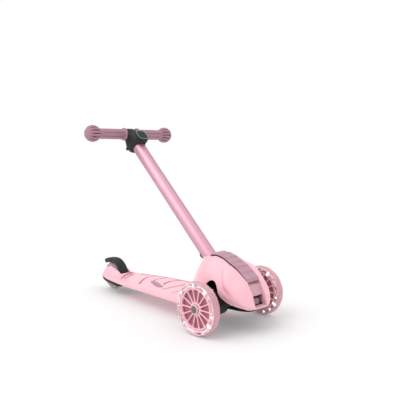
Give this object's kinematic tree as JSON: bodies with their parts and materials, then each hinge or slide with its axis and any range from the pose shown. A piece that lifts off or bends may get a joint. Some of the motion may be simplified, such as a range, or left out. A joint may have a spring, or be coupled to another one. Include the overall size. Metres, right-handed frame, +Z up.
{
  "type": "three wheel kids scooter",
  "caption": "Three wheel kids scooter: low deck, rounded hood over a sprung front axle, raked stem with straight T-bar and ball-end grips, spoked light-up front wheels, rear fender brake.",
  "frame": {"origin": "middle of the whole object's box, on the ground under it", "axes": "+X travel direction, towards the two front wheels; +Y the rider's left; +Z up"},
  "size_m": [0.6193, 0.2988, 0.4859],
  "materials": {
    "pink_plastic": "satin moulded",
    "mauve_rubber": "soft matte",
    "mauve_plastic": "matte",
    "black_plastic": "fine texture",
    "steel": "zinc plated",
    "stem_paint": "satin metallic",
    "grey_plastic": "matte",
    "bush_rubber": "soft",
    "clear_pink_tyre": "translucent cast",
    "led_clear": "clear, with small lamps",
    "aluminium": "drawn"
  },
  "bodies": {
    "chassis": {"deck_body": "pink_plastic", "deck_inlay": "mauve_plastic", "tail_skirt": "black_plastic", "tail_screw_right": "steel", "tail_screw_left": "steel", "housing_shell": "pink_plastic", "safety_pad": "mauve_rubber", "nose_insert": "mauve_plastic", "slot_bar": "mauve_plastic", "chassis_bracket": "black_plastic", "front_floor": "black_plastic", "bracket_bolt_right": "steel", "bracket_bolt_left": "steel", "kingpin": "steel", "kingpin_nut": "steel", "steering_bush_rear": "bush_rubber", "steering_bush_front": "bush_rubber", "stem_socket": "aluminium", "stem_post": "aluminium", "post_bolt": "steel", "stem_collar": "mauve_plastic", "rear_axle": "steel", "brake_pin": "steel", "brake_spring": "steel"},
    "t_bar": {"stem_tube": "stem_paint", "lower_bush": "black_plastic", "handlebar_tube": "aluminium", "clamp_body": "black_plastic", "clamp_bolt": "steel", "clamp_nut": "steel", "clamp_cap": "black_plastic", "clamp_badge": "black_plastic", "grip_right": "mauve_rubber", "grip_left": "mauve_rubber"},
    "release_button": {"release_button": "black_plastic", "button_spring": "steel"},
    "front_axle": {"axle_beam": "black_plastic", "axle_right": "steel", "axle_left": "steel"},
    "front_wheel_right": {"tyre_right": "clear_pink_tyre", "led_ring_right": "led_clear", "hub_right": "pink_plastic", "bearing_outer_right": "steel", "bearing_inner_right": "steel", "spacer_right": "steel", "hub_cap_right": "grey_plastic"},
    "front_wheel_left": {"tyre_left": "clear_pink_tyre", "led_ring_left": "led_clear", "hub_left": "pink_plastic", "bearing_outer_left": "steel", "bearing_inner_left": "steel", "spacer_left": "steel", "hub_cap_left": "grey_plastic"},
    "rear_wheel": {"rear_tyre": "clear_pink_tyre", "rear_hub": "pink_plastic", "rear_bearing_right": "steel", "rear_bearing_left": "steel", "rear_spacer": "steel"},
    "rear_brake": {"brake_fender": "black_plastic", "brake_shoe": "bush_rubber"}
  },
  "joints": [
    {"name": "lean_steer", "type": "hinge", "parent": "chassis", "child": "front_axle", "pos_m": [0.2172, 0, 0.066], "axis": [0.866, 0, 0.5], "range_deg": [-9, 9], "stiffness_Nm_per_rad": 25},
    {"name": "front_wheel_right_spin", "type": "hinge", "parent": "front_axle", "child": "front_wheel_right", "pos_m": [0.2172, -0.1153, 0.0625], "axis": [0, 1, 0], "continuous": true},
    {"name": "front_wheel_left_spin", "type": "hinge", "parent": "front_axle", "child": "front_wheel_left", "pos_m": [0.2172, 0.1153, 0.0625], "axis": [0, 1, 0], "continuous": true},
    {"name": "rear_wheel_spin", "type": "hinge", "parent": "chassis", "child": "rear_wheel", "pos_m": [-0.2608, 0, 0.04], "axis": [0, 1, 0], "continuous": true},
    {"name": "rear_brake", "type": "hinge", "parent": "chassis", "child": "rear_brake", "pos_m": [-0.2123, 0, 0.045], "axis": [0, -1, 0], "range_deg": [0, 3.5], "stiffness_Nm_per_rad": 6, "springref_deg": -1.72},
    {"name": "bar_height", "type": "slide", "parent": "chassis", "child": "t_bar", "axis": [-0.7181, 0, 0.6959], "range_m": [0, 0.06]},
    {"name": "height_button", "type": "slide", "parent": "t_bar", "child": "release_button", "axis": [0.6959, 0, 0.7181], "range_m": [0, 0.004], "stiffness_N_per_m": 400, "springref_m": -0.001}
  ]
}
